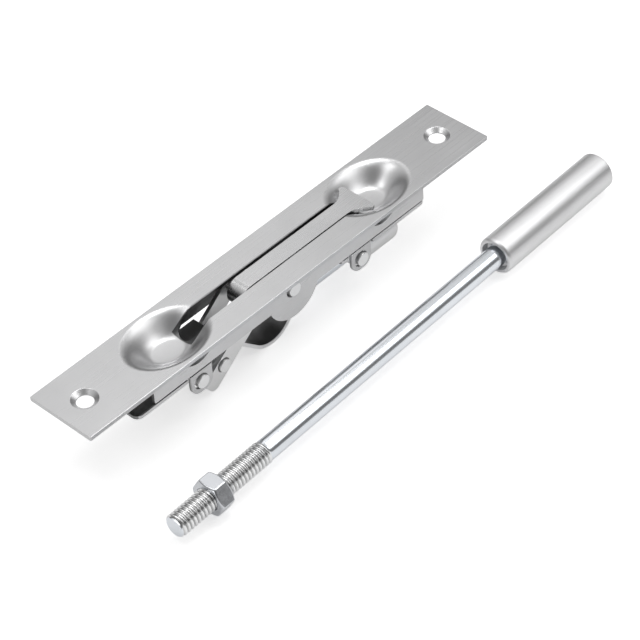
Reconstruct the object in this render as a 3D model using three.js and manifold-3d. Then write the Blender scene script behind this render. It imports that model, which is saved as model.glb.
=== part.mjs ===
// Manual lever extension flush bolt with its loose bolt rod lying beside it.
// Millimetres, +Z up. Modelled about the centre of the front plate's top face, then moved
// so the object's lowest point is at Z = 0 and its bounding box is centred in X and Y.
import * as THREE from 'three';
import { mergeVertices } from 'three/addons/utils/BufferGeometryUtils.js';
import Module from 'manifold-3d';

const wasm = await Module();
wasm.setup();

// Front plate
const PLATE_L = 171.45;
const PLATE_W = 25.4;
const SHEET = 1.5;
const SCREW_X = 76;
const SCREW_R = 2.7;
const SCREW_HEAD_R = 4.3;
const SLOT_HALF = 3.9;
const SLOT_END = 37.4;
const WELL_X = 43.5;
const WELL_HALF_L = 13.6;
const WELL_HALF_W = 10.2;
const WELL_DEPTH = 5.6;
const WELL_BOWL = 0.4;
const WELL_SHEET = 1.1;
const WELL_FLOOR = 0.46;
const WELL_RIM = 1.08;
const NOTCH_X = 40;
const NOTCH_R = 6.8;

// Side plates
const WALL_OUT = 9.5;
const WALL_T = 1.2;
const WALL_END = 58.5;
const WALL_TOP = -1.8;
const WALL_LOW = -9.65;
const LOBE_R = 10.8;

// Lever and its pivot
const PIVOT = { x: 0, z: -6 };
const CRANK = { x: -11.2, z: -5.1 };
const LEVER_TOP = -0.6;
const LEVER_T = 2;
const STRIP_HALF = 3.1;
const HEAD_T = 1.4;
const HEAD_HALF = 7.05;
const HEAD_START = 32.5;
const HEAD_END = 39.5;
const EYE_R = 4.5;

// Pins
const PIN_R = 2.3;
const CRANK_R = 1.9;
const SHAFT_R = 1.5;
const PIN_OUT = 10.3;
const RUN = 0.1;
const CRESCENT = 0.35;

// Link bars and the pivot at the slide
const SLIDE_PIN = { x: -28.4, z: -18.2 };
const LINK_IN = 5.5;
const LINK_OUT = 6.8;
const LINK_HALF = 3.45;
const LINK_UPPER = 3.1;
const LINK_HOLE = 0.2;
const LINK_TAIL = 6.4;

// Slide
const STRAP_HALF = 5;
const STRAP_T = 1.2;
const STRAP_TOP = -11.5;
const BOW = { x: -6.4, z: -16.4 };
const BOW_R = 9.6;
const BRACKET_TOP = -10.2;
const EAR_LOW = -18.5;
const TONGUE_HALF = 7.9;
const EAR_PIN_Z = -14.4;
const EAR_HALF = 4.3;
const EAR_LEFT_X = -39.8;
const EAR_RIGHT_X = 29.6;
const ROD_Z = -18;
const SLIDE_ROD_R = 3.4;
const TUBE_R = 6.1;
const TUBE_BORE_R = 3.95;
const TUBE_X0 = 32.7;
const TUBE_X1 = 50.8;

// Loose rod: axis height, start point, heading and sizes
const LOOSE_Z = -20.3;
const LOOSE_START = { x: -82.5, y: -40.2 };
const LOOSE_YAW = THREE.MathUtils.degToRad(1.6);
const SHANK_R = 3.5;
const THREAD_R = 3.75;
const THREAD_L = 37;
const NUT_AT = 16.2;
const NUT_AF = 11.1;
const NUT_T = 5.6;
const TIP_AT = 143.5;
const TIP_L = 53;
const TIP_R = 6.3;
const TIP_BORE_R = 3.7;
const TIP_MOUTH_R = 4.8;
const TIP_SOCKET = 16;

function solid(geometry) {
  const bare = geometry.clone();
  bare.deleteAttribute('normal');
  bare.deleteAttribute('uv');
  const merged = mergeVertices(bare, 1e-4);
  const mesh = new wasm.Mesh({
    numProp: 3,
    vertProperties: new Float32Array(merged.attributes.position.array),
    triVerts: new Uint32Array(merged.index.array),
  });
  return new wasm.Manifold(mesh);
}

function toGeometry(body) {
  const mesh = body.getMesh();
  const geometry = new THREE.BufferGeometry();
  geometry.setAttribute('position', new THREE.BufferAttribute(new Float32Array(mesh.vertProperties), 3));
  geometry.setIndex(new THREE.BufferAttribute(new Uint32Array(mesh.triVerts), 1));
  geometry.computeVertexNormals();
  return geometry;
}

function box(x0, x1, y0, y1, z0, z1) {
  const geometry = new THREE.BoxGeometry(x1 - x0, y1 - y0, z1 - z0);
  geometry.translate((x0 + x1) / 2, (y0 + y1) / 2, (z0 + z1) / 2);
  return solid(geometry);
}

// Flat outline in X and Z, thickened from y0 to y1.
function slabXZ(shape, y0, y1, segments = 12) {
  const geometry = new THREE.ExtrudeGeometry(shape, {
    depth: y1 - y0, bevelEnabled: false, curveSegments: segments,
  });
  geometry.rotateX(Math.PI / 2);
  geometry.translate(0, y1, 0);
  return solid(geometry);
}

// Flat outline in X and Y, thickened from z0 to z1.
function slabXY(shape, z0, z1, segments = 8) {
  const geometry = new THREE.ExtrudeGeometry(shape, {
    depth: z1 - z0, bevelEnabled: false, curveSegments: segments,
  });
  geometry.translate(0, 0, z0);
  return solid(geometry);
}

function barY(x, z, r, y0, y1, segments = 32) {
  const geometry = new THREE.CylinderGeometry(r, r, y1 - y0, segments);
  geometry.translate(x, (y0 + y1) / 2, z);
  return solid(geometry);
}

// Body turned about the X axis line through z, from closed (x, r) points.
function turnedX(points, z, segments = 40) {
  const outline = points.map(([x, r]) => new THREE.Vector2(r, x));
  outline.push(outline[0].clone());
  const geometry = new THREE.LatheGeometry(outline, segments);
  geometry.rotateZ(-Math.PI / 2);
  geometry.translate(0, 0, z);
  return solid(geometry);
}

function barX(x0, x1, r, z, segments = 40) {
  return turnedX([[x0, 0], [x0, r], [x1, r], [x1, 0]], z, segments);
}

function wellDrop(r) {
  const t = THREE.MathUtils.clamp((r - WELL_FLOOR) / (WELL_RIM - WELL_FLOOR), 0, 1);
  return (WELL_DEPTH - WELL_BOWL * r * r) * (1 - t * t * (3 - 2 * t));
}

// Oval dish: the space inside the well, or the same grown by a skin thickness and a margin.
function wellBody(x, skin, top) {
  const steps = 9;
  const grow = 1 + skin / WELL_HALF_W;
  const outline = [new THREE.Vector2(0, -WELL_DEPTH - skin)];
  for (let i = 0; i <= steps; i += 1) {
    const r = WELL_FLOOR + (WELL_RIM - WELL_FLOOR) * (i / steps);
    outline.push(new THREE.Vector2(r * grow, -wellDrop(r) - skin));
  }
  outline.push(new THREE.Vector2(WELL_RIM * grow, top));
  outline.push(new THREE.Vector2(0, top));
  outline.push(outline[0].clone());
  const geometry = new THREE.LatheGeometry(outline, 48);
  geometry.rotateX(Math.PI / 2);
  geometry.scale(WELL_HALF_L, WELL_HALF_W, 1);
  geometry.translate(x, 0, 0);
  return solid(geometry);
}

function roundedRect(x0, x1, y0, y1, r) {
  const s = new THREE.Shape();
  s.moveTo(x0 + r, y0);
  s.lineTo(x1 - r, y0);
  s.absarc(x1 - r, y0 + r, r, -Math.PI / 2, 0);
  s.lineTo(x1, y1 - r);
  s.absarc(x1 - r, y1 - r, r, 0, Math.PI / 2);
  s.lineTo(x0 + r, y1);
  s.absarc(x0 + r, y1 - r, r, Math.PI / 2, Math.PI);
  s.lineTo(x0, y0 + r);
  s.absarc(x0 + r, y0 + r, r, Math.PI, Math.PI * 1.5);
  return s;
}

function screwHole(x) {
  const sink = new THREE.LatheGeometry([
    new THREE.Vector2(0, -3), new THREE.Vector2(SCREW_R, -3), new THREE.Vector2(SCREW_R, -1.1),
    new THREE.Vector2(SCREW_HEAD_R, 0), new THREE.Vector2(SCREW_HEAD_R, 1), new THREE.Vector2(0, 1),
    new THREE.Vector2(0, -3),
  ], 40);
  sink.rotateX(Math.PI / 2);
  sink.translate(x, 0, 0);
  return solid(sink);
}

function faceplate() {
  let body = slabXY(roundedRect(-PLATE_L / 2, PLATE_L / 2, -PLATE_W / 2, PLATE_W / 2, 0.4), -SHEET, 0, 3);
  body = body.add(wellBody(WELL_X, WELL_SHEET, -0.2)).add(wellBody(-WELL_X, WELL_SHEET, -0.2));
  body = body.subtract(wellBody(WELL_X, 0, 1)).subtract(wellBody(-WELL_X, 0, 1));
  const slot = roundedRect(-SLOT_END, SLOT_END, -SLOT_HALF, SLOT_HALF, 2.6);
  body = body.subtract(slabXY(slot, -12, 2));
  return body.subtract(screwHole(SCREW_X)).subtract(screwHole(-SCREW_X));
}

// One side plate: a long wall with a round lobe about the lever pivot, relieved over both wells.
function sidePlate(side) {
  const y0 = side > 0 ? WALL_OUT - WALL_T : -WALL_OUT;
  const y1 = y0 + WALL_T;
  const wall = roundedRect(-WALL_END, WALL_END, WALL_LOW, WALL_TOP, 0.5);
  let body = slabXZ(wall, y0, y1);
  body = body.add(barY(PIVOT.x, PIVOT.z, LOBE_R, y0, y1, 64).subtract(box(-20, 20, y0 - 1, y1 + 1, WALL_TOP, 20)));
  body = body.subtract(wellBody(WELL_X, WELL_SHEET + 0.4, 1)).subtract(wellBody(-WELL_X, WELL_SHEET + 0.4, 1));
  body = body.subtract(barY(NOTCH_X, 0, NOTCH_R, y0 - 1, y1 + 1)).subtract(barY(-NOTCH_X, 0, NOTCH_R, y0 - 1, y1 + 1));
  return body.subtract(barY(PIVOT.x - CRESCENT, PIVOT.z, PIN_R + CRESCENT + RUN, y0 - 1, y1 + 1));
}

function leverHead() {
  const s = new THREE.Shape();
  s.moveTo(HEAD_START - 1, -STRIP_HALF);
  s.quadraticCurveTo(HEAD_START + 2.2, -STRIP_HALF, HEAD_END - 1.4, -HEAD_HALF);
  s.quadraticCurveTo(HEAD_END, -HEAD_HALF - 0.2, HEAD_END, -HEAD_HALF + 1.2);
  s.lineTo(HEAD_END, HEAD_HALF - 1.2);
  s.quadraticCurveTo(HEAD_END, HEAD_HALF + 0.2, HEAD_END - 1.4, HEAD_HALF);
  s.quadraticCurveTo(HEAD_START + 2.2, STRIP_HALF, HEAD_START - 1, STRIP_HALF);
  return slabXY(s, LEVER_TOP - HEAD_T, LEVER_TOP);
}

// Rolled eye at the crank end, with the strip running into it tangentially.
function leverEye() {
  const ring = barY(CRANK.x, CRANK.z, EYE_R, -STRIP_HALF, STRIP_HALF, 40);
  return ring.subtract(barY(CRANK.x, CRANK.z, CRANK_R + RUN, -9, 9));
}

function leverLugs() {
  const s = new THREE.Shape();
  s.moveTo(-5.2, LEVER_TOP - LEVER_T + 0.1);
  s.lineTo(-3.9, PIVOT.z);
  s.absarc(PIVOT.x, PIVOT.z, 3.9, Math.PI, Math.PI * 2);
  s.lineTo(5.2, LEVER_TOP - LEVER_T + 0.1);
  let lugs = slabXZ(s, -STRIP_HALF, -STRIP_HALF + 1.2).add(slabXZ(s, STRIP_HALF - 1.2, STRIP_HALF));
  return lugs.subtract(barY(PIVOT.x, PIVOT.z, PIN_R + RUN, -9, 9));
}

function lever() {
  const strip = box(CRANK.x, HEAD_START, -STRIP_HALF, STRIP_HALF, LEVER_TOP - LEVER_T, LEVER_TOP);
  const body = strip.add(leverHead()).add(leverLugs());
  return body.subtract(barY(CRANK.x, CRANK.z, CRANK_R + RUN, -9, 9)).add(leverEye());
}

// Straight bar from the crank pin down and back past the slide pin.
function linkBar(side) {
  const y0 = side > 0 ? LINK_IN : -LINK_OUT;
  const y1 = y0 + LINK_OUT - LINK_IN;
  const dx = CRANK.x - SLIDE_PIN.x;
  const dz = CRANK.z - SLIDE_PIN.z;
  const length = Math.hypot(dx, dz);
  const s = new THREE.Shape();
  s.absarc(length, 0, LINK_HALF, -Math.PI / 2, Math.PI / 2);
  s.lineTo(length - 4, LINK_UPPER);
  s.lineTo(-LINK_TAIL, LINK_UPPER);
  s.absarc(-LINK_TAIL, LINK_UPPER - 2.4, 2.4, Math.PI / 2, Math.PI);
  s.lineTo(-LINK_TAIL - 2.4, -LINK_HALF + 2.4);
  s.absarc(-LINK_TAIL, -LINK_HALF + 2.4, 2.4, Math.PI, Math.PI * 1.5);
  const geometry = new THREE.ExtrudeGeometry(s, { depth: y1 - y0, bevelEnabled: false, curveSegments: 16 });
  geometry.rotateX(Math.PI / 2);
  geometry.rotateY(-Math.atan2(dz, dx));
  geometry.translate(SLIDE_PIN.x, y1, SLIDE_PIN.z);
  const holeX = SLIDE_PIN.x - LINK_HOLE * 0.6;
  const holeZ = SLIDE_PIN.z + LINK_HOLE * 0.6;
  let body = solid(geometry).subtract(barY(CRANK.x, CRANK.z, CRANK_R + RUN, y0 - 1, y1 + 1));
  return body.subtract(barY(holeX, holeZ, PIN_R + LINK_HOLE, y0 - 1, y1 + 1));
}

// Strap centre line: flat, ramp, bow under the pivot, riser, neck.
function strapOutline() {
  const h = STRAP_T / 2;
  const mid = STRAP_TOP - h;
  const low = mid - h;
  const a0 = Math.PI * 1.25;
  const inner = BOW_R - h;
  const outer = BOW_R + h;
  const s = new THREE.Shape();
  s.moveTo(-62, low);
  s.lineTo(-25.4, low);
  s.lineTo(BOW.x + outer * Math.cos(a0), BOW.z + outer * Math.sin(a0));
  s.absarc(BOW.x, BOW.z, outer, a0, Math.PI * 2);
  s.lineTo(BOW.x + outer, low - 0.6);
  s.lineTo(BOW.x + outer + 0.6, low);
  s.lineTo(26, low);
  s.lineTo(26, STRAP_TOP);
  s.lineTo(BOW.x + outer, STRAP_TOP);
  s.lineTo(BOW.x + inner, STRAP_TOP - 0.8);
  s.lineTo(BOW.x + inner, BOW.z);
  s.absarc(BOW.x, BOW.z, inner, 0, a0 - Math.PI * 2, true);
  s.lineTo(-24.9, STRAP_TOP);
  s.lineTo(-62, STRAP_TOP);
  return s;
}

function strapLug(side) {
  const y0 = side > 0 ? STRAP_HALF - 1.2 : -STRAP_HALF;
  const s = new THREE.Shape();
  s.moveTo(-31.6, STRAP_TOP - 0.2);
  s.lineTo(-31.6, SLIDE_PIN.z);
  s.absarc(SLIDE_PIN.x, SLIDE_PIN.z, 3.2, Math.PI, Math.PI * 2);
  s.lineTo(-25.2, STRAP_TOP - 0.4);
  return slabXZ(s, y0, y0 + 1.2);
}

function slideStrap() {
  const body = slabXZ(strapOutline(), -STRAP_HALF, STRAP_HALF, 20).add(strapLug(1)).add(strapLug(-1));
  return body.subtract(barY(SLIDE_PIN.x, SLIDE_PIN.z, PIN_R + RUN, -9, 9));
}

function ear(x, side) {
  const y0 = side > 0 ? WALL_OUT - WALL_T : -WALL_OUT;
  const s = new THREE.Shape();
  s.moveTo(x - EAR_HALF, BRACKET_TOP);
  s.lineTo(x - EAR_HALF, EAR_LOW + 3.6);
  s.absarc(x - EAR_HALF + 3.6, EAR_LOW + 3.6, 3.6, Math.PI, Math.PI * 1.5);
  s.lineTo(x + EAR_HALF - 3.6, EAR_LOW);
  s.absarc(x + EAR_HALF - 3.6, EAR_LOW + 3.6, 3.6, Math.PI * 1.5, Math.PI * 2);
  s.lineTo(x + EAR_HALF, BRACKET_TOP);
  const hole = barY(x - CRESCENT, EAR_PIN_Z + 0.1, PIN_R + CRESCENT + RUN, y0 - 1, y0 + 3);
  return slabXZ(s, y0, y0 + WALL_T).subtract(hole);
}

function earBracket(x0, x1, earX) {
  const low = BRACKET_TOP - STRAP_T;
  let body = slabXY(roundedRect(x0, x1, -WALL_OUT, WALL_OUT, 2.4), low, BRACKET_TOP);
  [-1, 1].forEach((side) => {
    const y = side > 0 ? [WALL_OUT - 2.2, 20] : [-20, -WALL_OUT + 2.2];
    body = body.subtract(box(earX - EAR_HALF - 1, earX - EAR_HALF, ...y, low - 1, BRACKET_TOP + 1));
    body = body.subtract(box(earX + EAR_HALF, earX + EAR_HALF + 1, ...y, low - 1, BRACKET_TOP + 1));
    body = body.add(ear(earX, side));
  });
  return body;
}

// Narrower end of the left bracket, which passes between the side plates' lobes at full travel.
function leftTongue() {
  return box(-38, -25.7, -TONGUE_HALF, TONGUE_HALF, BRACKET_TOP - STRAP_T, BRACKET_TOP);
}

// Pin with a thin shaft and a broad head flush in each ear.
function earPin(x) {
  const heads = barY(x, EAR_PIN_Z, PIN_R, -PIN_OUT, -WALL_OUT + WALL_T)
    .add(barY(x, EAR_PIN_Z, PIN_R, WALL_OUT - WALL_T, PIN_OUT));
  return heads.add(barY(x, EAR_PIN_Z, SHAFT_R, -9, 9));
}

function socketTube() {
  const body = turnedX([
    [TUBE_X0, 0], [TUBE_X0, TUBE_R - 0.5], [TUBE_X0 + 0.5, TUBE_R], [TUBE_X1 - 1.6, TUBE_R],
    [TUBE_X1 - 0.5, TUBE_R - 0.45], [TUBE_X1, TUBE_R - 1.4], [TUBE_X1, 0],
  ], ROD_Z);
  return body.subtract(barX(TUBE_X0 + 5, TUBE_X1 + 1, TUBE_BORE_R, ROD_Z));
}

// Rod from the bow to the tube, grooved on top where the right ear pin crosses it.
function slideRod() {
  const rod = barX(BOW.x + BOW_R + STRAP_T / 2 + 0.4, TUBE_X0 - 0.3, SLIDE_ROD_R, ROD_Z);
  return rod.subtract(barY(EAR_RIGHT_X, EAR_PIN_Z, SHAFT_R + 0.15, -9, 9));
}

function placeLoose(body) {
  const geometry = toGeometry(body);
  geometry.rotateZ(LOOSE_YAW);
  geometry.translate(LOOSE_START.x, LOOSE_START.y, 0);
  return geometry;
}

function extensionRod() {
  return turnedX([
    [0, 0], [0, THREAD_R - 0.6], [0.6, THREAD_R], [THREAD_L, THREAD_R], [THREAD_L + 0.4, SHANK_R],
    [TIP_AT + TIP_SOCKET - 0.6, SHANK_R], [TIP_AT + TIP_SOCKET - 0.6, 0],
  ], LOOSE_Z);
}

function hexNut() {
  const corner = NUT_AF / Math.sqrt(3);
  const prism = new THREE.CylinderGeometry(corner, corner, NUT_T, 6);
  prism.rotateZ(-Math.PI / 2);
  prism.rotateX(Math.PI / 6);
  prism.translate(NUT_AT, 0, LOOSE_Z);
  const chamfer = turnedX([
    [NUT_AT - NUT_T, 0], [NUT_AT - NUT_T / 2, NUT_AF / 2 - 0.3], [NUT_AT - NUT_T / 2 + 0.75, corner + 0.1],
    [NUT_AT + NUT_T / 2 - 0.75, corner + 0.1], [NUT_AT + NUT_T / 2, NUT_AF / 2 - 0.3], [NUT_AT + NUT_T, 0],
  ], LOOSE_Z, 48);
  return solid(prism).intersect(chamfer).subtract(barX(0, 40, THREAD_R + RUN, LOOSE_Z));
}

function boltTip() {
  const end = TIP_AT + TIP_L;
  const body = turnedX([
    [TIP_AT, 0], [TIP_AT, TIP_R - 0.8], [TIP_AT + 0.8, TIP_R], [end - 0.8, TIP_R], [end, TIP_R - 0.8], [end, 0],
  ], LOOSE_Z, 48);
  const mouth = barX(TIP_AT - 1, TIP_AT + 2.5, TIP_MOUTH_R, LOOSE_Z);
  return body.subtract(mouth).subtract(barX(TIP_AT - 1, TIP_AT + TIP_SOCKET, TIP_BORE_R, LOOSE_Z));
}

const group = new THREE.Group();

function put(name, body, color, roughness) {
  const geometry = body.isBufferGeometry ? body : toGeometry(body);
  const material = new THREE.MeshStandardMaterial({ color, roughness, metalness: 1 });
  material.name = name;
  const mesh = new THREE.Mesh(geometry, material);
  mesh.name = name;
  group.add(mesh);
}

const SATIN = 0xb9bab9;
const GREY = 0x9b9c9b;
const ZINC = 0xb4bcc6;
const BRIGHT = 0xd0d1d2;

put('faceplate', faceplate(), SATIN, 0.35);
put('side_plate_near', sidePlate(-1), SATIN, 0.4);
put('side_plate_far', sidePlate(1), SATIN, 0.4);
put('lever_pivot_pin', barY(PIVOT.x, PIVOT.z, PIN_R, -PIN_OUT, PIN_OUT), BRIGHT, 0.25);
put('lever', lever(), SATIN, 0.35);
put('crank_pin', barY(CRANK.x, CRANK.z, CRANK_R, -LINK_OUT - 0.8, LINK_OUT + 0.8), BRIGHT, 0.25);
put('link_bar_near', linkBar(-1), SATIN, 0.35);
put('link_bar_far', linkBar(1), SATIN, 0.35);
put('link_pin_near', barY(SLIDE_PIN.x, SLIDE_PIN.z, PIN_R - 0.1, -LINK_OUT - 0.8, -STRAP_HALF - 0.2), BRIGHT, 0.25);
put('link_pin_far', barY(SLIDE_PIN.x, SLIDE_PIN.z, PIN_R - 0.1, STRAP_HALF + 0.2, LINK_OUT + 0.8), BRIGHT, 0.25);
put('slide_pin', barY(SLIDE_PIN.x, SLIDE_PIN.z, PIN_R, -STRAP_HALF, STRAP_HALF), BRIGHT, 0.25);
put('spacer_bush', barY(SLIDE_PIN.x, SLIDE_PIN.z, 3.3, -3.5, 3.5)
  .subtract(barY(SLIDE_PIN.x, SLIDE_PIN.z, PIN_R + RUN, -5, 5)), GREY, 0.4);
put('slide_strap', slideStrap(), GREY, 0.35);
put('ear_bracket_left', earBracket(-65.7, -34.9, EAR_LEFT_X).add(leftTongue()), GREY, 0.4);
put('ear_bracket_right', earBracket(20.5, 59.5, EAR_RIGHT_X), GREY, 0.4);
put('ear_pin_left', earPin(EAR_LEFT_X), BRIGHT, 0.25);
put('ear_pin_right', earPin(EAR_RIGHT_X), BRIGHT, 0.25);
put('slide_rod', slideRod(), ZINC, 0.2);
put('socket_tube', socketTube(), SATIN, 0.35);
put('extension_rod', placeLoose(extensionRod()), ZINC, 0.2);
put('hex_nut', placeLoose(hexNut()), ZINC, 0.3);
put('bolt_tip', placeLoose(boltTip()), SATIN, 0.35);

const bounds = new THREE.Box3().setFromObject(group);
const centre = bounds.getCenter(new THREE.Vector3());
group.children.forEach((mesh) => mesh.geometry.translate(-centre.x, -centre.y, -bounds.min.z));

export default group;
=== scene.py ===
"""Flush bolt and its loose rod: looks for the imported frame. Metres, the frame's own axes."""
import math

import bmesh
import bpy
from mathutils import Matrix, Vector

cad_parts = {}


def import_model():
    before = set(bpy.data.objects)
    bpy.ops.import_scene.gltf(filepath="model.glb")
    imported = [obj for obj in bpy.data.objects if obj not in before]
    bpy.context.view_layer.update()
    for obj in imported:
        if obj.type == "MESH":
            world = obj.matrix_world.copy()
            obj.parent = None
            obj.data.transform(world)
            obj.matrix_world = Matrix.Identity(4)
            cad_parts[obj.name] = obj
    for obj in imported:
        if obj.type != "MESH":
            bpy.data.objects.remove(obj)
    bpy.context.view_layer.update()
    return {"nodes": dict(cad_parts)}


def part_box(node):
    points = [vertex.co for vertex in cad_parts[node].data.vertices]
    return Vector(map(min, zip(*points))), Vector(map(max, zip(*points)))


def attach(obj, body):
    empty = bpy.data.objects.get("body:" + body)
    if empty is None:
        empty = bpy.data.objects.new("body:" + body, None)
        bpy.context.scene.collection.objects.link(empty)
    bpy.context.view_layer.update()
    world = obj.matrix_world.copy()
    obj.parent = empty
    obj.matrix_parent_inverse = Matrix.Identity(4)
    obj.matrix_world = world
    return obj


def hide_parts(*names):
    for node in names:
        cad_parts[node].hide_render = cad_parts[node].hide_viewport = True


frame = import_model()
MM = 0.001

# The centre of the front plate's top face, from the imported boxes.
PLATE_LO, PLATE_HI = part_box("faceplate")
ORIGIN = Vector(((PLATE_LO.x + PLATE_HI.x) / 2, (PLATE_LO.y + PLATE_HI.y) / 2, PLATE_HI.z))


# ---------------------------------------------------------------- camera
AZIMUTH, ELEVATION, ROLL = math.radians(-43.819), math.radians(43.133), math.radians(-4.5415)
EYE_MM = Vector((-385.893, -421.828, 509.380))  # from the front plate's centre
LENS_MM, SENSOR_MM = 143.866, 36.0


def make_camera():
    """The photo's viewpoint."""
    a, e = AZIMUTH, ELEVATION
    back = Vector((math.sin(a) * math.cos(e), -math.cos(a) * math.cos(e), math.sin(e)))
    level = Vector((math.cos(a), math.sin(a), 0.0))
    up = back.cross(level)
    right = math.cos(ROLL) * level + math.sin(ROLL) * up
    up = back.cross(right)
    data = bpy.data.cameras.new("camera")
    data.lens = LENS_MM
    data.sensor_width = SENSOR_MM
    data.clip_start, data.clip_end = 0.01, 20.0
    cam = bpy.data.objects.new("camera", data)
    turn = Matrix((right, up, back)).transposed().to_4x4()
    cam.matrix_world = Matrix.Translation(ORIGIN + EYE_MM * MM) @ turn
    bpy.context.scene.collection.objects.link(cam)
    bpy.context.scene.camera = cam


# ---------------------------------------------------------------- materials
def metal(name, color, rough, grain, grain_rough, bump, blotch):
    """Metal with fine stretched grain, soft colour blotches and slight wear in the roughness."""
    mat = bpy.data.materials.new(name)
    mat.use_nodes = True
    nt = mat.node_tree
    bsdf = nt.nodes["Principled BSDF"]
    bsdf.inputs["Metallic"].default_value = 1.0
    coord = nt.nodes.new("ShaderNodeTexCoord")
    mapping = nt.nodes.new("ShaderNodeMapping")
    mapping.inputs["Scale"].default_value = grain
    nt.links.new(coord.outputs["Object"], mapping.inputs["Vector"])
    fine = nt.nodes.new("ShaderNodeTexNoise")
    fine.inputs["Scale"].default_value = 7.0
    fine.inputs["Detail"].default_value = 5.0
    fine.inputs["Roughness"].default_value = 0.65
    nt.links.new(mapping.outputs["Vector"], fine.inputs["Vector"])
    cloud = nt.nodes.new("ShaderNodeTexNoise")
    cloud.inputs["Scale"].default_value = 55.0
    cloud.inputs["Detail"].default_value = 3.0
    nt.links.new(coord.outputs["Object"], cloud.inputs["Vector"])
    spread = nt.nodes.new("ShaderNodeMapRange")
    spread.inputs["From Min"].default_value = 0.3
    spread.inputs["From Max"].default_value = 0.7
    spread.inputs["To Min"].default_value = rough - grain_rough / 2
    spread.inputs["To Max"].default_value = rough + grain_rough / 2
    nt.links.new(fine.outputs["Fac"], spread.inputs["Value"])
    nt.links.new(spread.outputs["Result"], bsdf.inputs["Roughness"])
    mixed = nt.nodes.new("ShaderNodeMath")
    mixed.operation = "MULTIPLY_ADD"
    mixed.inputs[1].default_value = 0.5
    nt.links.new(fine.outputs["Fac"], mixed.inputs[0])
    nt.links.new(cloud.outputs["Fac"], mixed.inputs[2])
    ramp = nt.nodes.new("ShaderNodeValToRGB")
    ramp.color_ramp.elements[0].position = 0.35
    ramp.color_ramp.elements[1].position = 1.1
    ramp.color_ramp.elements[0].color = [c * (1 - blotch) for c in color] + [1]
    ramp.color_ramp.elements[1].color = [min(1, c * (1 + blotch)) for c in color] + [1]
    nt.links.new(mixed.outputs["Value"], ramp.inputs["Fac"])
    nt.links.new(ramp.outputs["Color"], bsdf.inputs["Base Color"])
    rise = nt.nodes.new("ShaderNodeBump")
    rise.inputs["Strength"].default_value = bump
    rise.inputs["Distance"].default_value = 0.0002
    nt.links.new(fine.outputs["Fac"], rise.inputs["Height"])
    nt.links.new(rise.outputs["Normal"], bsdf.inputs["Normal"])
    return mat


def polish_below(mat, height, rough, bump):
    """Smoother and less grained where the surface lies below a height, as in the pressed wells."""
    nt = mat.node_tree
    bsdf = nt.nodes["Principled BSDF"]
    coord = nt.nodes.new("ShaderNodeTexCoord")
    split = nt.nodes.new("ShaderNodeSeparateXYZ")
    nt.links.new(coord.outputs["Object"], split.inputs["Vector"])
    depth = nt.nodes.new("ShaderNodeMapRange")
    depth.inputs["From Min"].default_value = height - 0.9 * MM
    depth.inputs["From Max"].default_value = height - 0.05 * MM
    nt.links.new(split.outputs["Z"], depth.inputs["Value"])
    grained = bsdf.inputs["Roughness"].links[0].from_socket
    smooth = nt.nodes.new("ShaderNodeMix")
    smooth.inputs["A"].default_value = rough
    nt.links.new(depth.outputs["Result"], smooth.inputs["Factor"])
    nt.links.new(grained, smooth.inputs["B"])
    nt.links.new(smooth.outputs["Result"], bsdf.inputs["Roughness"])
    rise = bsdf.inputs["Normal"].links[0].from_node
    lift = nt.nodes.new("ShaderNodeMapRange")
    lift.inputs["To Min"].default_value = bump
    lift.inputs["To Max"].default_value = rise.inputs["Strength"].default_value
    nt.links.new(depth.outputs["Result"], lift.inputs["Value"])
    nt.links.new(lift.outputs["Result"], rise.inputs["Strength"])


def scale_base_color(mat, level):
    """Multiply the base colour by the value of a socket."""
    nt = mat.node_tree
    base = nt.nodes["Principled BSDF"].inputs["Base Color"]
    shaded = nt.nodes.new("ShaderNodeVectorMath")
    shaded.operation = "SCALE"
    nt.links.new(base.links[0].from_socket, shaded.inputs[0])
    nt.links.new(level, shaded.inputs["Scale"])
    nt.links.new(shaded.outputs["Vector"], base)


def darken(mat, factor, *bounds):
    """Shadow painted into the base colour: each bound is (axis, start, end), the distances in mm from
    the plate's centre along that axis between which the darkening comes in."""
    nt = mat.node_tree
    coord = nt.nodes.new("ShaderNodeTexCoord")
    split = nt.nodes.new("ShaderNodeSeparateXYZ")
    nt.links.new(coord.outputs["Object"], split.inputs["Vector"])
    total = None
    for axis, start, end in bounds:
        away = nt.nodes.new("ShaderNodeMath")
        away.operation = "SUBTRACT"
        away.inputs[1].default_value = ORIGIN["XYZ".index(axis)]
        nt.links.new(split.outputs[axis], away.inputs[0])
        distance = nt.nodes.new("ShaderNodeMath")
        distance.operation = "ABSOLUTE"
        nt.links.new(away.outputs["Value"], distance.inputs[0])
        inside = nt.nodes.new("ShaderNodeMapRange")
        inside.inputs["From Min"].default_value = start * MM
        inside.inputs["From Max"].default_value = end * MM
        nt.links.new(distance.outputs["Value"], inside.inputs["Value"])
        mask = inside.outputs["Result"]
        if total is not None:
            both = nt.nodes.new("ShaderNodeMath")
            both.operation = "MULTIPLY"
            nt.links.new(total, both.inputs[0])
            nt.links.new(mask, both.inputs[1])
            mask = both.outputs["Value"]
        total = mask
    level = nt.nodes.new("ShaderNodeMapRange")
    level.inputs["To Min"].default_value = 1.0
    level.inputs["To Max"].default_value = factor
    nt.links.new(total, level.inputs["Value"])
    scale_base_color(mat, level.outputs["Result"])


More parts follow.
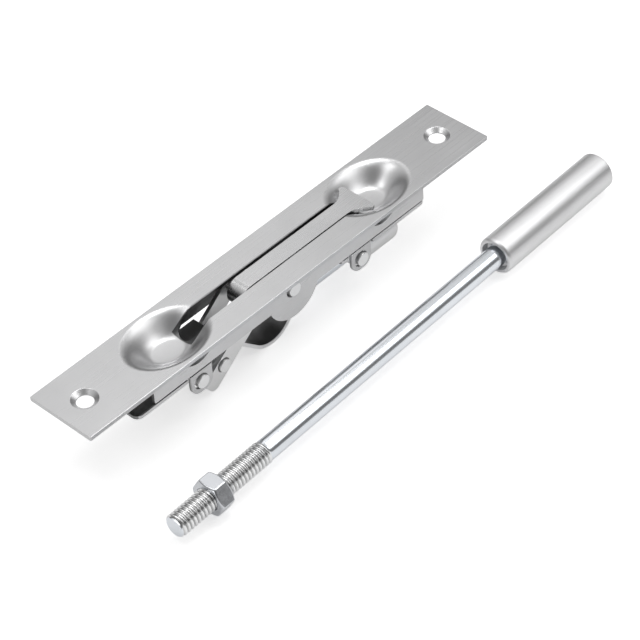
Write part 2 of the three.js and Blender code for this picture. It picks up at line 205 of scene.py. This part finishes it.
PLATE_STEEL = metal("brushed_front", (0.64, 0.64, 0.645), 0.32, (3, 420, 300), 0.16, 0.07, 0.055)
polish_below(PLATE_STEEL, ORIGIN.z, 0.34, 0.01)
# Painted shade on the slot's walls, deeper than 0.5 mm inside the slot.
darken(PLATE_STEEL, 0.2, ("X", 37.9, 37.6), ("Y", 4.25, 4.12), ("Z", 0.15, 0.5))
LEVER_STEEL = metal("lever_steel", (0.63, 0.63, 0.635), 0.28, (3, 420, 300), 0.16, 0.1, 0.08)
# Painted shade on the lever deeper than 3.4 mm below the plate's top: its eye and lugs.
darken(LEVER_STEEL, 0.45, ("Z", 2.6, 3.4))
SIDE_STEEL = metal("side_steel", (0.68, 0.68, 0.685), 0.32, (6, 260, 260), 0.14, 0.08, 0.07)
# Painted shade on the side plates within 8.35 mm of the centre line: their faces inside the case.
darken(SIDE_STEEL, 0.15, ("Y", 8.5, 8.35))
TUBE_STEEL = metal("tube_steel", (0.84, 0.84, 0.845), 0.34, (6, 260, 260), 0.14, 0.08, 0.07)
TIP_STEEL = metal("tip_steel", (0.8, 0.8, 0.805), 0.42, (6, 260, 260), 0.12, 0.06, 0.06)
LINK_STEEL = metal("link_steel", (0.86, 0.86, 0.86), 0.38, (60, 120, 120), 0.14, 0.06, 0.07)
BRACKET_STEEL = metal("stamped_steel", (0.64, 0.64, 0.645), 0.36, (60, 90, 90), 0.14, 0.06, 0.12)
# Painted shade on the ear brackets within 8.85 mm of the centre line; their outer edges stay bright.
darken(BRACKET_STEEL, 0.4, ("Y", 9.0, 8.85))
STRAP_STEEL = metal("strap_steel", (0.85, 0.85, 0.855), 0.36, (60, 90, 90), 0.14, 0.06, 0.12)
# Painted shade on these pieces within 4.7 mm of the centre line, such as inside the bow; the bow's rim stays
# bright.
darken(STRAP_STEEL, 0.22, ("Y", 4.85, 4.7))
PIN = metal("turned_pin", (0.95, 0.95, 0.95), 0.42, (200, 200, 200), 0.1, 0.04, 0.05)
ZINC = metal("zinc_plate", (0.87, 0.9, 0.94), 0.17, (5, 220, 220), 0.04, 0.01, 0.06)
NUT_ZINC = metal("zinc_nut", (0.66, 0.675, 0.7), 0.2, (90, 90, 90), 0.12, 0.06, 0.1)


# ---------------------------------------------------------------- mesh helpers
BEVEL_SEGMENTS = 3
REFINED_ANGLE = 32
MERGE_DISTANCE = 2e-6


def piece(name, bm, mat, body, nodes, bevel, angle):
    mesh = bpy.data.meshes.new(name)
    bmesh.ops.recalc_face_normals(bm, faces=bm.faces)
    bm.to_mesh(mesh)
    bm.free()
    mesh.materials.append(mat)
    obj = bpy.data.objects.new(name, mesh)
    bpy.context.scene.collection.objects.link(obj)
    finish_piece(obj, body, nodes, bevel, angle)
    return obj


def finish_piece(obj, body, nodes, bevel, angle):
    """Smooth shading with rounded edges, or sharp ones where there is no bevel, then the piece is put on its
    body and the CAD nodes it stands for are hidden.
    """
    for p in obj.data.polygons:
        p.use_smooth = True
    if bevel:
        mod = obj.modifiers.new("edges", "BEVEL")
        mod.width = bevel * MM
        mod.segments = BEVEL_SEGMENTS
        mod.limit_method = "ANGLE"
        mod.angle_limit = math.radians(angle)
        mod.use_clamp_overlap = True
        mod.harden_normals = False
    else:
        sharpen(obj, angle)
    smooth = obj.modifiers.new("normals", "WEIGHTED_NORMAL")
    smooth.keep_sharp = True
    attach(obj, body)
    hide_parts(*nodes)


def sharpen(obj, angle):
    bm = bmesh.new()
    bm.from_mesh(obj.data)
    for e in bm.edges:
        if len(e.link_faces) == 2 and e.calc_face_angle(0) > math.radians(angle):
            e.smooth = False
    bm.to_mesh(obj.data)
    bm.free()


def refined(node, body, mat, bevel):
    """The CAD node's own shape with cleaned faces and small rounded edges."""
    bm = bmesh.new()
    bm.from_mesh(frame["nodes"][node].data)
    bmesh.ops.remove_doubles(bm, verts=bm.verts, dist=MERGE_DISTANCE)
    bmesh.ops.dissolve_limit(bm, angle_limit=math.radians(1.0), verts=bm.verts, edges=bm.edges)
    return piece(node + "_v", bm, mat, body, [node], bevel, REFINED_ANGLE)


TURNED_SEGMENTS, TURNED_ANGLE = 96, 28


def turned(name, points, mat, body, node, place):
    """A closed (along, radius) profile in mm turned about its own X axis, then placed."""
    bm = bmesh.new()
    rings = []
    for x, r in points:
        if r < 1e-6:
            rings.append([bm.verts.new(place @ Vector((x * MM, 0, 0)))])
            continue
        ring = []
        for i in range(TURNED_SEGMENTS):
            t = 2 * math.pi * i / TURNED_SEGMENTS
            ring.append(bm.verts.new(place @ Vector((x * MM, r * math.cos(t) * MM, r * math.sin(t) * MM))))
        rings.append(ring)
    for k in range(len(rings) - 1):
        join(bm, rings[k], rings[k + 1])
    return piece(name, bm, mat, body, [node], 0.0, TURNED_ANGLE)


def join(bm, a, b):
    """Faces between two rings, either of which may be a single point."""
    n = max(len(a), len(b))
    for i in range(n):
        j = (i + 1) % n
        if len(a) == 1 and len(b) > 1:
            bm.faces.new((a[0], b[j], b[i]))
        elif len(b) == 1 and len(a) > 1:
            bm.faces.new((a[i], a[j], b[0]))
        elif len(a) > 1:
            bm.faces.new((a[i], a[j], b[j], b[i]))


# ---------------------------------------------------------------- front plate
WELL_X, WELL_HALF_L, WELL_HALF_W, WELL_DEPTH = 43.5, 13.6, 10.2, 5.6
WELL_SHEET, WELL_FLOOR, WELL_RIM, WELL_BOWL = 1.1, 0.38, 1.16, 0.4
WELL_REACH = 12.4  # keeps the wells' underside inside the plate's edges
PLATE_LENGTH, PLATE_WIDTH, SCREW_X = 171.45, 25.4, 76
SLOT_END, SLOT_HALF, SLOT_R = 37.4, 3.9, 3.8


def well_drop(r):
    """Depth in mm at a fraction of the well's half width: a bowl with a smooth roll up to the plate."""
    t = min(1.0, max(0.0, (r - WELL_FLOOR) / (WELL_RIM - WELL_FLOOR)))
    return (WELL_DEPTH - WELL_BOWL * r * r) * (1 - t * t * (3 - 2 * t))


def cutter(name, bm):
    bmesh.ops.recalc_face_normals(bm, faces=bm.faces)
    mesh = bpy.data.meshes.new(name)
    bm.to_mesh(mesh)
    bm.free()
    obj = bpy.data.objects.new(name, mesh)
    bpy.context.scene.collection.objects.link(obj)
    return obj


def well_solid(name, x, skin, top):
    """Oval dish under the plate, thickened by skin, closed off at height top."""
    bm = bmesh.new()
    steps, segments = 26, 128
    grow = 1 + skin / WELL_HALF_W
    rows = [(0.0, -WELL_DEPTH - skin), (0.21, -well_drop(0.21) - skin)]
    for i in range(steps + 1):
        r = WELL_FLOOR + (WELL_RIM - WELL_FLOOR) * i / steps
        rows.append((r * grow, -well_drop(r) - skin))
    rows += [(WELL_RIM * grow, top), (0.0, top)]
    rings = []
    for r, z in rows:
        if r == 0:
            rings.append([bm.verts.new(ORIGIN + Vector((x, 0, z)) * MM)])
            continue
        ring = []
        for i in range(segments):
            t = 2 * math.pi * i / segments
            y = max(-WELL_REACH, min(WELL_REACH, r * WELL_HALF_W * math.sin(t)))
            at = Vector((x + r * WELL_HALF_L * math.cos(t), y, z))
            ring.append(bm.verts.new(ORIGIN + at * MM))
        rings.append(ring)
    for k in range(len(rings) - 1):
        join(bm, rings[k], rings[k + 1])
    return cutter(name, bm)


def rounded_outline(hx, hy, r, steps=8):
    pts = []
    corners = ((hx - r, hy - r, 0), (r - hx, hy - r, 90), (r - hx, r - hy, 180), (hx - r, r - hy, 270))
    for cx, cy, a0 in corners:
        for i in range(steps + 1):
            a = math.radians(a0 + 90 * i / steps)
            pts.append((cx + r * math.cos(a), cy + r * math.sin(a)))
    return pts


def stack(layers):
    """Closed solid from same-length outlines at rising heights: [(outline, z), ...]."""
    bm = bmesh.new()
    rings = [[bm.verts.new(ORIGIN + Vector((x, y, z)) * MM) for x, y in outline] for outline, z in layers]
    for k in range(len(rings) - 1):
        join(bm, rings[k], rings[k + 1])
    bm.faces.new(rings[0][::-1])
    bm.faces.new(rings[-1])
    return bm


def boolean(obj, other, operation):
    mod = obj.modifiers.new("b", "BOOLEAN")
    mod.operation = operation
    mod.object = other
    mod.solver = "EXACT"
    dg = bpy.context.evaluated_depsgraph_get()
    made = bpy.data.meshes.new_from_object(obj.evaluated_get(dg))
    obj.modifiers.clear()
    obj.data = made
    bpy.data.objects.remove(other)


def screw_cutter(x):
    bm = bmesh.new()
    rings = []
    for r, z in ((0, -3), (2.7, -3), (2.7, -1.15), (4.1, -0.12), (4.35, 0.02), (4.35, 1), (0, 1)):
        if r == 0:
            rings.append([bm.verts.new(ORIGIN + Vector((x, 0, z)) * MM)])
        else:
            rings.append([bm.verts.new(ORIGIN + Vector((x + r * math.cos(t * math.pi / 32),
                          r * math.sin(t * math.pi / 32), z)) * MM) for t in range(64)])
    for k in range(len(rings) - 1):
        join(bm, rings[k], rings[k + 1])
    return cutter("screw", bm)


def faceplate():
    hx, hy = PLATE_LENGTH / 2, PLATE_WIDTH / 2
    out = stack([
        (rounded_outline(hx - 0.12, hy - 0.12, 0.4), -1.5), (rounded_outline(hx, hy, 0.4), -1.38),
        (rounded_outline(hx, hy, 0.4), -0.2), (rounded_outline(hx - 0.06, hy - 0.06, 0.4), -0.06),
        (rounded_outline(hx - 0.2, hy - 0.2, 0.4), 0.0)])
    plate = cutter("faceplate_v", out)
    for x in (WELL_X, -WELL_X):
        boolean(plate, well_solid("shell", x, WELL_SHEET, -0.2), "UNION")
    for x in (WELL_X, -WELL_X):
        boolean(plate, well_solid("dish", x, 0.0, 1.0), "DIFFERENCE")
    throat = rounded_outline(SLOT_END, SLOT_HALF, SLOT_R)
    lip = rounded_outline(SLOT_END, SLOT_HALF + 0.22, SLOT_R)
    slot = cutter("slot", stack([(throat, -12), (throat, -0.25), (lip, 0.02), (lip, 2)]))
    boolean(plate, slot, "DIFFERENCE")
    for x in (-SCREW_X, SCREW_X):
        boolean(plate, screw_cutter(x), "DIFFERENCE")
    plate.data.materials.clear()
    plate.data.materials.append(PLATE_STEEL)
    finish_piece(plate, "case", ["faceplate"], 0.0, 34)


# ---------------------------------------------------------------- loose rod
YAW = math.radians(1.6)
LOOSE = Matrix.Translation(ORIGIN + Vector((-82.5, -40.2, -20.3)) * MM) @ Matrix.Rotation(YAW, 4, "Z")
THREAD_L, THREAD_R, PITCH, THREAD_DEPTH = 37.0, 3.8, 1.41, 0.72
TIP_AT, TIP_L, TIP_R = 143.5, 53.0, 6.3


def darken_grooves(mat, deep, crest, factor):
    """Painted shade in the thread's grooves: the base colour darkens the nearer the surface is to the rod's
    axis, over radii in mm.
    """
    nt = mat.node_tree
    coord = nt.nodes.new("ShaderNodeTexCoord")
    local = nt.nodes.new("ShaderNodeMapping")
    local.vector_type = "TEXTURE"
    local.inputs["Location"].default_value = LOOSE.translation
    local.inputs["Rotation"].default_value = (0, 0, YAW)
    nt.links.new(coord.outputs["Object"], local.inputs["Vector"])
    across = nt.nodes.new("ShaderNodeVectorMath")
    across.operation = "MULTIPLY"
    across.inputs[1].default_value = (0, 1, 1)
    nt.links.new(local.outputs["Vector"], across.inputs[0])
    radius = nt.nodes.new("ShaderNodeVectorMath")
    radius.operation = "LENGTH"
    nt.links.new(across.outputs["Vector"], radius.inputs[0])
    level = nt.nodes.new("ShaderNodeMapRange")
    level.inputs["From Min"].default_value = deep * MM
    level.inputs["From Max"].default_value = crest * MM
    level.inputs["To Min"].default_value = factor
    level.inputs["To Max"].default_value = 1.0
    nt.links.new(radius.outputs["Value"], level.inputs["Value"])
    scale_base_color(mat, level.outputs["Result"])


# A lighter copy of the rod's zinc: painted highlight on the thread, with painted shade in its grooves.
THREAD_ZINC = metal("zinc_thread", (0.96, 0.97, 0.98), 0.2, (5, 220, 220), 0.08, 0.03, 0.06)
darken_grooves(THREAD_ZINC, 3.12, 3.55, 0.45)


def thread_radius(x, turn):
    phase = (x / PITCH - turn) % 1.0
    ridge = 1 - abs(2 * phase - 1)
    ridge = min(1.0, max(0.0, (ridge - 0.14) / 0.7))
    fade = min(1.0, max(0.0, x / 1.6)) * min(1.0, max(0.0, (THREAD_L - x) / 1.5))
    crest = THREAD_R - 0.5 * (1 - min(1.0, x / 0.7))
    return crest - THREAD_DEPTH * (1 - ridge) * (0.35 + 0.65 * fade)


def threaded_rod():
    bm = bmesh.new()
    segments, rows = 48, int(THREAD_L / PITCH * 12)
    rings = [[bm.verts.new(LOOSE @ Vector((0, 0, 0)))]]
    for k in range(rows + 1):
        x = THREAD_L * k / rows
        ring = []
        for i in range(segments):
            t = 2 * math.pi * i / segments
            r = thread_radius(x, i / segments)
            ring.append(bm.verts.new(LOOSE @ (Vector((x, r * math.cos(t), r * math.sin(t))) * MM)))
        rings.append(ring)
    for x, r in ((THREAD_L + 0.5, 3.3), (THREAD_L + 1.0, 3.5), (TIP_AT + 15.4, 3.5), (TIP_AT + 15.4, 0)):
        if r == 0:
            rings.append([bm.verts.new(LOOSE @ (Vector((x, 0, 0)) * MM))])
            continue
        rings.append([bm.verts.new(LOOSE @ (Vector((x, r * math.cos(2 * math.pi * i / segments),
                      r * math.sin(2 * math.pi * i / segments))) * MM)) for i in range(segments)])
    for k in range(len(rings) - 1):
        join(bm, rings[k], rings[k + 1])
    for face in bm.faces:
        centre = LOOSE.inverted() @ face.calc_center_median()
        face.material_index = 1 if 0.3 * MM < centre.x < THREAD_L * MM else 0
    rod = piece("extension_rod_v", bm, ZINC, "bolt_rod", ["extension_rod"], 0.0, 60)
    rod.data.materials.append(THREAD_ZINC)
    return rod


def bolt_tip():
    end = TIP_AT + TIP_L
    pts = [(TIP_AT + 16, 0), (TIP_AT + 16, 3.7), (TIP_AT + 2.6, 3.7),
           (TIP_AT + 2.2, 4.6), (TIP_AT + 0.3, 4.8),
           (TIP_AT, 5.0), (TIP_AT, 5.55), (TIP_AT + 0.12, 5.85), (TIP_AT + 0.7, 6.25), (TIP_AT + 1.0, TIP_R),
           (end - 1.1, TIP_R), (end - 0.75, 6.26), (end - 0.2, 5.75), (end, 5.3), (end, 0)]
    turned("bolt_tip_v", pts, TIP_STEEL, "bolt_rod", "bolt_tip", LOOSE)


def socket_tube():
    place = Matrix.Translation(ORIGIN + Vector((0, 0, -18)) * MM)
    pts = [(32.7, 0), (32.7, 5.5), (32.82, 5.85), (33.2, 6.1), (48.7, 6.1), (49.6, 5.98), (50.3, 5.6),
           (50.7, 5.1), (50.8, 4.75), (50.8, 4.2), (50.6, 4.0), (37.7, 3.95), (37.7, 0)]
    turned("socket_tube_v", pts, TUBE_STEEL, "slide", "socket_tube", place)


# ---------------------------------------------------------------- build
make_camera()
faceplate()
refined("side_plate_near", "case", SIDE_STEEL, 0.15)
refined("side_plate_far", "case", SIDE_STEEL, 0.15)
refined("lever_pivot_pin", "case", PIN, 0.25)
refined("lever", "lever", LEVER_STEEL, 0.45)
refined("crank_pin", "lever", PIN, 0.25)
for side in ("near", "far"):
    refined("link_bar_" + side, "link", LINK_STEEL, 0.18)
    refined("link_pin_" + side, "link", PIN, 0.25)
refined("slide_pin", "slide", PIN, 0.1)
refined("spacer_bush", "slide", STRAP_STEEL, 0.2)
refined("slide_strap", "slide", STRAP_STEEL, 0.15)
for side in ("left", "right"):
    refined("ear_bracket_" + side, "slide", BRACKET_STEEL, 0.18)
    refined("ear_pin_" + side, "slide", PIN, 0.25)
refined("slide_rod", "slide", ZINC, 0.1)
socket_tube()
threaded_rod()
refined("hex_nut", "nut", NUT_ZINC, 0.3)
bolt_tip()


# ---------------------------------------------------------------- studio
FLOOR_IN_METAL = 0.75
FLOOR_GLOW_IN_METAL = 0.2


def floor():
    bm = bmesh.new()
    bmesh.ops.create_grid(bm, x_segments=1, y_segments=1, size=3.0)
    mesh = bpy.data.meshes.new("floor")
    bm.to_mesh(mesh)
    bm.free()
    obj = bpy.data.objects.new("floor", mesh)
    obj.location.z = -0.0002
    mat = bpy.data.materials.new("floor")
    mat.use_nodes = True
    nt = mat.node_tree
    nt.nodes.clear()
    seen = nt.nodes.new("ShaderNodeBsdfDiffuse")
    seen.inputs["Color"].default_value = (0.8, 0.8, 0.8, 1)
    glow = nt.nodes.new("ShaderNodeEmission")
    glow.inputs["Strength"].default_value = 0.6
    both = nt.nodes.new("ShaderNodeAddShader")
    nt.links.new(seen.outputs[0], both.inputs[0])
    nt.links.new(glow.outputs[0], both.inputs[1])
    pale = nt.nodes.new("ShaderNodeBsdfDiffuse")
    pale.inputs["Color"].default_value = (FLOOR_IN_METAL,) * 3 + (1,)
    soft = nt.nodes.new("ShaderNodeEmission")
    soft.inputs["Strength"].default_value = FLOOR_GLOW_IN_METAL
    mirrored = nt.nodes.new("ShaderNodeAddShader")
    nt.links.new(pale.outputs[0], mirrored.inputs[0])
    nt.links.new(soft.outputs[0], mirrored.inputs[1])
    path = nt.nodes.new("ShaderNodeLightPath")
    choose = nt.nodes.new("ShaderNodeMixShader")
    nt.links.new(path.outputs["Is Camera Ray"], choose.inputs["Fac"])
    nt.links.new(mirrored.outputs[0], choose.inputs[1])
    nt.links.new(both.outputs[0], choose.inputs[2])
    out = nt.nodes.new("ShaderNodeOutputMaterial")
    nt.links.new(choose.outputs[0], out.inputs["Surface"])
    mesh.materials.append(mat)
    bpy.context.scene.collection.objects.link(obj)


def area(name, at, target, size, power):
    data = bpy.data.lights.new(name, "AREA")
    data.shape = "RECTANGLE"
    data.size, data.size_y = size
    data.energy = power
    obj = bpy.data.objects.new(name, data)
    obj.location = at
    obj.rotation_mode = "QUATERNION"
    obj.rotation_quaternion = (Vector(target) - Vector(at)).to_track_quat("-Z", "Y")
    bpy.context.scene.collection.objects.link(obj)


CAMERA_SIDE = (-0.505, -0.527, 0.684)
# Brightness of the room by height, from straight down (0) to straight up (1).
SKY_STOPS = [(0.0, 0.3), (0.5, 0.3), (0.66, 0.16), (0.8, 0.7), (0.88, 0.76), (1.0, 0.5)]


def world():
    """Pale room, darker low down and where the camera stands."""
    made = bpy.data.worlds.new("studio")
    bpy.context.scene.world = made
    made.use_nodes = True
    nt = made.node_tree
    back = nt.nodes["Background"]
    coord = nt.nodes.new("ShaderNodeTexCoord")
    split = nt.nodes.new("ShaderNodeSeparateXYZ")
    ramp = nt.nodes.new("ShaderNodeValToRGB")
    ramp.color_ramp.interpolation = "EASE"
    elements = ramp.color_ramp.elements
    for element, (pos, value) in ((elements[0], SKY_STOPS[0]), (elements[1], SKY_STOPS[-1])):
        element.position, element.color = pos, (value, value, value, 1)
    for pos, value in SKY_STOPS[1:-1]:
        elements.new(pos).color = (value, value, value, 1)
    remap = nt.nodes.new("ShaderNodeMapRange")
    remap.inputs["From Min"].default_value = -1.0
    remap.inputs["From Max"].default_value = 1.0
    nt.links.new(coord.outputs["Generated"], split.inputs["Vector"])
    nt.links.new(split.outputs["Z"], remap.inputs["Value"])
    nt.links.new(remap.outputs["Result"], ramp.inputs["Fac"])
    near = nt.nodes.new("ShaderNodeVectorMath")
    near.operation = "DOT_PRODUCT"
    near.inputs[1].default_value = CAMERA_SIDE
    nt.links.new(coord.outputs["Generated"], near.inputs[0])
    shade = nt.nodes.new("ShaderNodeMapRange")
    shade.interpolation_type = "SMOOTHSTEP"
    shade.inputs["From Min"].default_value = 0.8
    shade.inputs["From Max"].default_value = 0.96
    shade.inputs["To Min"].default_value = 1.0
    shade.inputs["To Max"].default_value = 0.3
    nt.links.new(near.outputs["Value"], shade.inputs["Value"])
    dim = nt.nodes.new("ShaderNodeVectorMath")
    dim.operation = "SCALE"
    nt.links.new(ramp.outputs["Color"], dim.inputs[0])
    nt.links.new(shade.outputs["Result"], dim.inputs["Scale"])
    nt.links.new(dim.outputs["Vector"], back.inputs["Color"])
    back.inputs["Strength"].default_value = 0.85


floor()
world()
area("key", (0.62, -0.57, 0.9), (0, 0, 0), (0.8, 0.55), 1.9)
area("rims", (0.3, 0.03, 1.05), (0, 0, 0), (0.7, 0.4), 3.0)
area("sky", (-0.3, 0.25, 0.9), (0, 0, 0), (0.5, 0.3), 1.0)
area("left_end", (0.17, 0.3, 0.38), (-0.08, 0.0, 0.02), (0.2, 0.2), 0.05)
bpy.context.scene.view_settings.view_transform = "Standard"
